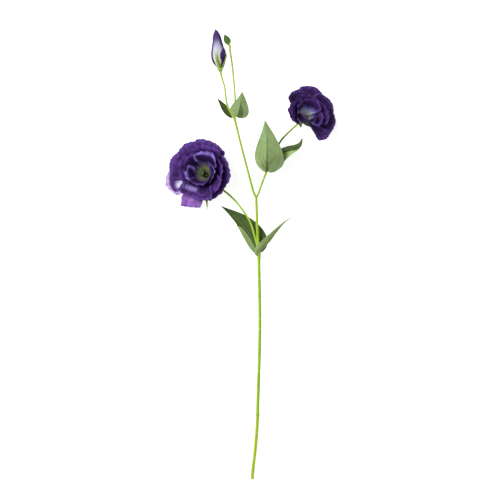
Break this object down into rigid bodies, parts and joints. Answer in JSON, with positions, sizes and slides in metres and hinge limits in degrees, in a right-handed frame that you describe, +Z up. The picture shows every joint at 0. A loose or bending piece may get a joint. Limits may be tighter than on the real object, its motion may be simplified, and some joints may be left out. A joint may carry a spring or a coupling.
{
  "type": "lisianthus flower",
  "caption": "Cut lisianthus stem lying down, with open double dark-purple blooms, a half-open purple and white bud, a small green bud and paired green leaves.",
  "frame": {"origin": "on the table under the middle of the whole stem's bounding box", "axes": "+Y up the stem towards the buds, +X to the right of the stem, +Z up from the table"},
  "size_m": [0.2284, 0.597, 0.0549],
  "materials": {
    "stem": "smooth, waxy yellow-green",
    "leaf": "matt grey-green, paler beneath",
    "petal": "soft velvety dark purple",
    "calyx": "smooth yellow-green",
    "heart": "matt green and yellow",
    "bud_petal": "soft white to purple"
  },
  "bodies": {
    "root": {"stem": "stem", "leaf_lower_left": "leaf", "leaf_lower_right": "leaf", "leaf_middle_front": "leaf", "leaf_middle_right": "leaf", "leaf_upper_left": "leaf", "leaf_upper_right": "leaf", "bloom_left_petals": "petal", "bloom_left_calyx": "calyx", "bloom_left_heart": "heart", "bloom_right_petals": "petal", "bloom_right_calyx": "calyx", "bloom_right_heart": "heart", "bud_purple_petals": "bud_petal", "bud_purple_calyx": "calyx", "bud_green": "calyx"}
  },
  "joints": []
}
